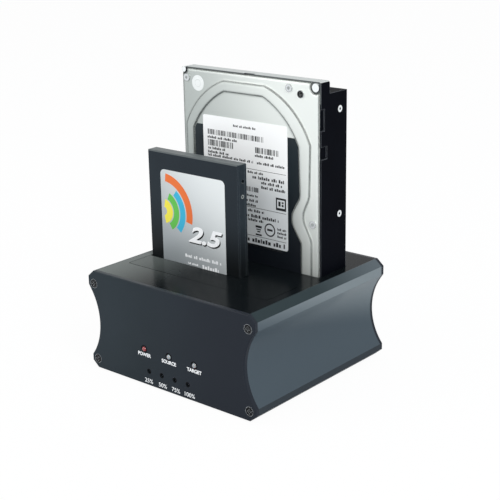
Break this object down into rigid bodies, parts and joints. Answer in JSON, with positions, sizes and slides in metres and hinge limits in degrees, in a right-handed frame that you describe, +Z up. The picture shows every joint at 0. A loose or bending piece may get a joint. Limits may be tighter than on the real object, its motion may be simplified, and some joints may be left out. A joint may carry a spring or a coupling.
{
  "type": "drive duplicator",
  "caption": "Desktop drive duplicator: waisted metal shell, slots with sprung doors, front indicator lamps, and a slim and a full-size drive standing in the bays.",
  "frame": {"origin": "on the surface that the dock stands on, under the middle of its box", "axes": "+X to the right along the front panel, +Y to the rear panel, +Z up"},
  "size_m": [0.1264, 0.121, 0.172],
  "materials": {
    "anodised_shell": "satin black anodised extrusion",
    "black_screw": "black zinc",
    "bright_steel": "ground or zinc plated",
    "foot_rubber": "matt black",
    "bay_plastic": "moulded, fine texture",
    "door_plastic": "satin black",
    "circuit_board": "green solder mask",
    "black_moulding": "black connector plastic",
    "switch_plastic": "glossy black",
    "red_lamp": "clear red resin",
    "clear_lamp": "clear resin",
    "capacitor_can": "bright can",
    "drive_casting": "black coated casting",
    "damper_sheet": "dark damping foil",
    "drive_cover": "bright pressed sheet",
    "label_paper": null,
    "ssd_plastic": "satin black"
  },
  "bodies": {
    "dock": {"shell": "anodised_shell", "front_panel": "anodised_shell", "rear_panel": "anodised_shell", "front_panel_screws": "black_screw", "rear_panel_screws": "black_screw", "front_door_pin": "bright_steel", "rear_door_pin": "bright_steel", "front_door_spring": "bright_steel", "rear_door_spring": "bright_steel", "bay_screws": "bright_steel", "usb_socket": "bright_steel", "rubber_feet": "foot_rubber", "front_bay": "bay_plastic", "rear_bay": "bay_plastic", "main_board": "circuit_board", "indicator_board": "circuit_board", "front_drive_socket": "black_moulding", "rear_drive_socket": "black_moulding", "power_jack": "black_moulding", "copy_button_switch": "black_moulding", "indicator_header": "black_moulding", "bridge_chips": "black_moulding", "power_switch": "switch_plastic", "power_led": "red_lamp", "source_led": "clear_lamp", "target_led": "clear_lamp", "progress_leds": "clear_lamp", "capacitors": "capacitor_can"},
    "front_door": {"front_door": "door_plastic"},
    "rear_door": {"rear_door": "door_plastic"},
    "switch_rocker": {"switch_rocker": "switch_plastic"},
    "copy_button": {"copy_button": "switch_plastic"},
    "hdd": {"hdd_casting": "drive_casting", "hdd_cover": "drive_cover", "hdd_cover_screws": "bright_steel", "hdd_damper": "damper_sheet", "hdd_label": "label_paper", "hdd_board": "circuit_board", "hdd_board_screws": "bright_steel", "hdd_plug": "black_moulding"},
    "ssd": {"ssd_case": "ssd_plastic", "ssd_base": "ssd_plastic", "ssd_board": "circuit_board", "ssd_case_screws": "bright_steel", "ssd_label": "label_paper", "ssd_plug": "black_moulding"}
  },
  "joints": [
    {"name": "front_door_hinge", "type": "hinge", "parent": "dock", "child": "front_door", "pos_m": [0, -0.045, 0.0574], "axis": [1, 0, 0], "range_deg": [-88, 0], "stiffness_Nm_per_rad": 0.004, "springref_deg": 34.38, "deforming": ["front_door_spring"]},
    {"name": "rear_door_hinge", "type": "hinge", "parent": "dock", "child": "rear_door", "pos_m": [0, 0.0014, 0.0574], "axis": [1, 0, 0], "range_deg": [0, 88], "deforming": ["rear_door_spring"]},
    {"name": "hdd_lift", "type": "slide", "parent": "dock", "child": "hdd", "axis": [0, 0, 1], "range_m": [0, 0.098]},
    {"name": "ssd_lift", "type": "slide", "parent": "dock", "child": "ssd", "axis": [0, 0, 1], "range_m": [0, 0.06]},
    {"name": "power_rocker", "type": "hinge", "parent": "dock", "child": "switch_rocker", "pos_m": [0.038, 0.0569, 0.0266], "axis": [0, 0, 1], "range_deg": [-14, 0]},
    {"name": "copy_press", "type": "slide", "parent": "dock", "child": "copy_button", "axis": [0, -1, 0], "range_m": [0, 0.0008], "stiffness_N_per_m": 400, "springref_m": -0.002}
  ],
  "couplings": [
    {"joint": "rear_door_hinge", "follows": "hdd_lift", "rad_per_m": 15.672}
  ]
}
